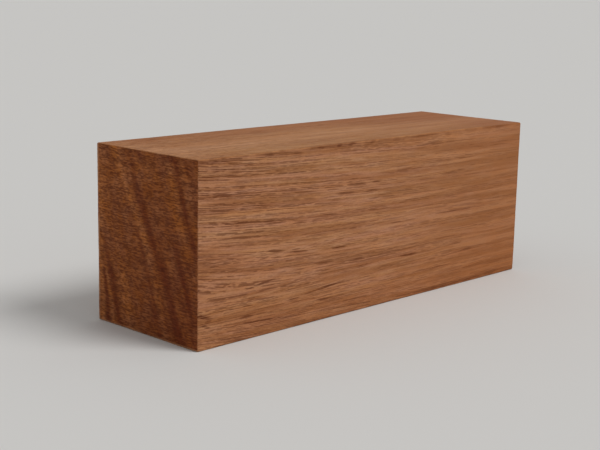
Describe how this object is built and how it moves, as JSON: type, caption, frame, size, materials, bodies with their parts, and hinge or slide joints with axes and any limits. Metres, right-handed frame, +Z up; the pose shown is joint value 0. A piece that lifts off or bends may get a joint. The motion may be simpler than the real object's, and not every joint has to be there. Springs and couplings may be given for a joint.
{
  "type": "hardwood block",
  "caption": "Rectangular block of reddish-brown, open-pored hardwood with the grain along its length, saw-cut ends and lightly eased edges, for carving, turning or handles.",
  "frame": {"origin": "middle of the face the block rests on", "axes": "+X along the grain and the block's length, +Y across its width, +Z up"},
  "size_m": [0.127, 0.038, 0.045],
  "materials": {
    "hardwood": "matte"
  },
  "bodies": {
    "root": {"hardwood_block": "hardwood"}
  },
  "joints": []
}
